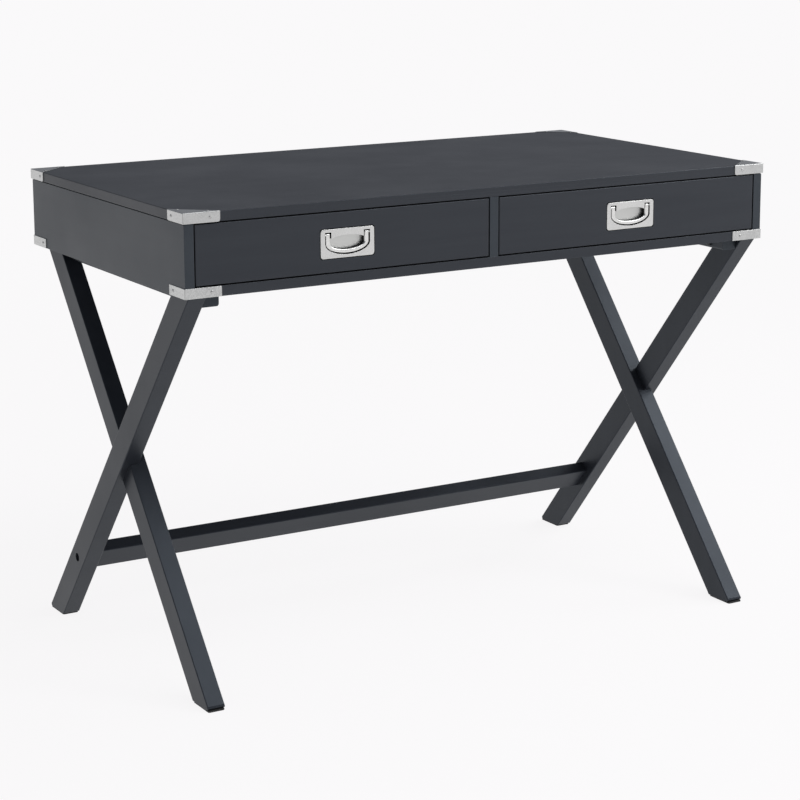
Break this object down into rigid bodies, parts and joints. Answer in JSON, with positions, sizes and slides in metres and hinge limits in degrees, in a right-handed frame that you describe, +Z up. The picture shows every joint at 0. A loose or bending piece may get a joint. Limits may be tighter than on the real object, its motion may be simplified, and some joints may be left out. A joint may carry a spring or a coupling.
{
  "type": "writing desk",
  "caption": "Campaign-style writing desk: flat top over a shallow case of drawers with flush bail pulls, metal corner guards, crossed-leg side frames and a rear stretcher.",
  "frame": {"origin": "on the floor, under the middle of the desk's bounding box", "axes": "+X to the right along the width as seen from the drawers' side, +Y towards the back, +Z up; the drawers face -Y"},
  "size_m": [1.1014, 0.615, 0.7862],
  "materials": {
    "black_lacquer": "satin near-black lacquer",
    "drawer_box_lacquer": "matt near-black lacquer",
    "satin_nickel": "satin nickel plate",
    "zinc_steel": "zinc plate",
    "black_steel": "black oxide",
    "beech": "bare",
    "black_glide": "matt"
  },
  "bodies": {
    "desk_frame": {"back_panel": "black_lacquer", "bottom_board": "black_lacquer", "case_dowels": "beech", "centre_divider": "black_lacquer", "cleat_screws": "black_steel", "desk_top": "black_lacquer", "foot_glides": "black_glide", "guard_screws_bottom": "satin_nickel", "guard_screws_top": "satin_nickel", "left_back_guard_bottom": "satin_nickel", "left_back_guard_top": "satin_nickel", "left_cleat": "black_lacquer", "left_front_guard_bottom": "satin_nickel", "left_front_guard_top": "satin_nickel", "left_inner_leg": "black_lacquer", "left_outer_leg": "black_lacquer", "left_side_panel": "black_lacquer", "left_slide_channels": "zinc_steel", "leg_head_bolts": "black_steel", "right_back_guard_bottom": "satin_nickel", "right_back_guard_top": "satin_nickel", "right_cleat": "black_lacquer", "right_front_guard_bottom": "satin_nickel", "right_front_guard_top": "satin_nickel", "right_inner_leg": "black_lacquer", "right_outer_leg": "black_lacquer", "right_side_panel": "black_lacquer", "right_slide_channels": "zinc_steel", "slide_channel_screws": "zinc_steel", "stretcher": "black_lacquer", "stretcher_bolts": "black_steel"},
    "left_drawer": {"left_drawer_back": "drawer_box_lacquer", "left_drawer_bottom": "drawer_box_lacquer", "left_drawer_front": "black_lacquer", "left_drawer_side_inner": "drawer_box_lacquer", "left_drawer_side_outer": "drawer_box_lacquer", "left_pull_plate": "satin_nickel", "left_pull_screws": "zinc_steel", "left_slide_bar_screws": "zinc_steel", "left_slide_bars": "zinc_steel"},
    "right_drawer": {"right_drawer_back": "drawer_box_lacquer", "right_drawer_bottom": "drawer_box_lacquer", "right_drawer_front": "black_lacquer", "right_drawer_side_inner": "drawer_box_lacquer", "right_drawer_side_outer": "drawer_box_lacquer", "right_pull_plate": "satin_nickel", "right_pull_screws": "zinc_steel", "right_slide_bar_screws": "zinc_steel", "right_slide_bars": "zinc_steel"},
    "left_bail": {"left_bail": "satin_nickel"},
    "right_bail": {"right_bail": "satin_nickel"}
  },
  "joints": [
    {"name": "left_drawer_slide", "type": "slide", "parent": "desk_frame", "child": "left_drawer", "axis": [0, -1, 0], "range_m": [0, 0.3]},
    {"name": "left_bail_hinge", "type": "hinge", "parent": "left_drawer", "child": "left_bail", "pos_m": [-0.27, -0.302, 0.732], "axis": [-1, 0, 0], "range_deg": [0, 95]},
    {"name": "right_drawer_slide", "type": "slide", "parent": "desk_frame", "child": "right_drawer", "axis": [0, -1, 0], "range_m": [0, 0.3]},
    {"name": "right_bail_hinge", "type": "hinge", "parent": "right_drawer", "child": "right_bail", "pos_m": [0.27, -0.302, 0.732], "axis": [-1, 0, 0], "range_deg": [0, 95]}
  ]
}
